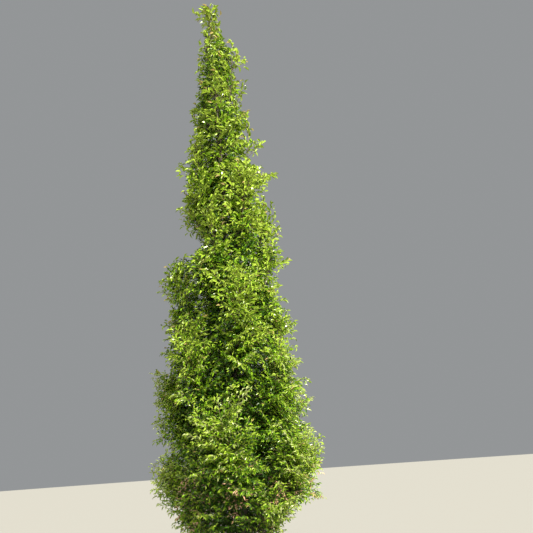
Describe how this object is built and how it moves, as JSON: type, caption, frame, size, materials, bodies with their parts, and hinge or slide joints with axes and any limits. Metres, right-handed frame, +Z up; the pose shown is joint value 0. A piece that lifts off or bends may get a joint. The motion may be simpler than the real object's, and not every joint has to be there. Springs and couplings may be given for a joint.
{
  "type": "columnar hornbeam tree",
  "caption": "Slim upright broadleaf tree: a straight tapering trunk with steep boughs and a dense, pointed, column-shaped leafy crown almost down to the ground.",
  "frame": {"origin": "middle of the flat cut under the trunk, at ground level", "axes": "+Z up along the tree, +X to the right and -Y towards the viewer in the usual view"},
  "size_m": [1.7413, 1.7383, 6.4855],
  "materials": {
    "bark": "smooth pale grey bark with shallow vertical ridges",
    "bough_bark": "thin brown-grey bark of young boughs",
    "foliage": "fresh green leaves, satin on top"
  },
  "bodies": {
    "root": {"trunk": "bark", "bough_01": "bough_bark", "bough_02": "bough_bark", "bough_03": "bough_bark", "bough_04": "bough_bark", "bough_05": "bough_bark", "bough_06": "bough_bark", "bough_07": "bough_bark", "bough_08": "bough_bark", "bough_09": "bough_bark", "bough_10": "bough_bark", "bough_11": "bough_bark", "bough_12": "bough_bark", "bough_13": "bough_bark", "bough_14": "bough_bark", "bough_15": "bough_bark", "bough_16": "bough_bark", "bough_17": "bough_bark", "bough_18": "bough_bark", "bough_19": "bough_bark", "bough_20": "bough_bark", "foliage_01": "foliage", "foliage_02": "foliage", "foliage_03": "foliage", "foliage_04": "foliage", "foliage_05": "foliage", "foliage_06": "foliage", "foliage_07": "foliage", "foliage_08": "foliage", "foliage_09": "foliage", "foliage_10": "foliage", "foliage_11": "foliage", "foliage_12": "foliage", "foliage_13": "foliage", "foliage_14": "foliage", "foliage_15": "foliage", "foliage_16": "foliage", "foliage_17": "foliage", "foliage_18": "foliage", "foliage_19": "foliage", "foliage_20": "foliage", "high_foliage_21": "foliage", "high_foliage_22": "foliage", "high_foliage_23": "foliage", "high_foliage_24": "foliage", "high_foliage_25": "foliage", "high_foliage_26": "foliage", "high_foliage_27": "foliage", "high_foliage_28": "foliage", "high_foliage_29": "foliage", "high_foliage_30": "foliage", "high_foliage_31": "foliage", "high_foliage_32": "foliage", "high_foliage_33": "foliage", "high_foliage_34": "foliage", "high_foliage_35": "foliage", "high_foliage_36": "foliage", "leader_foliage": "foliage"}
  },
  "joints": []
}
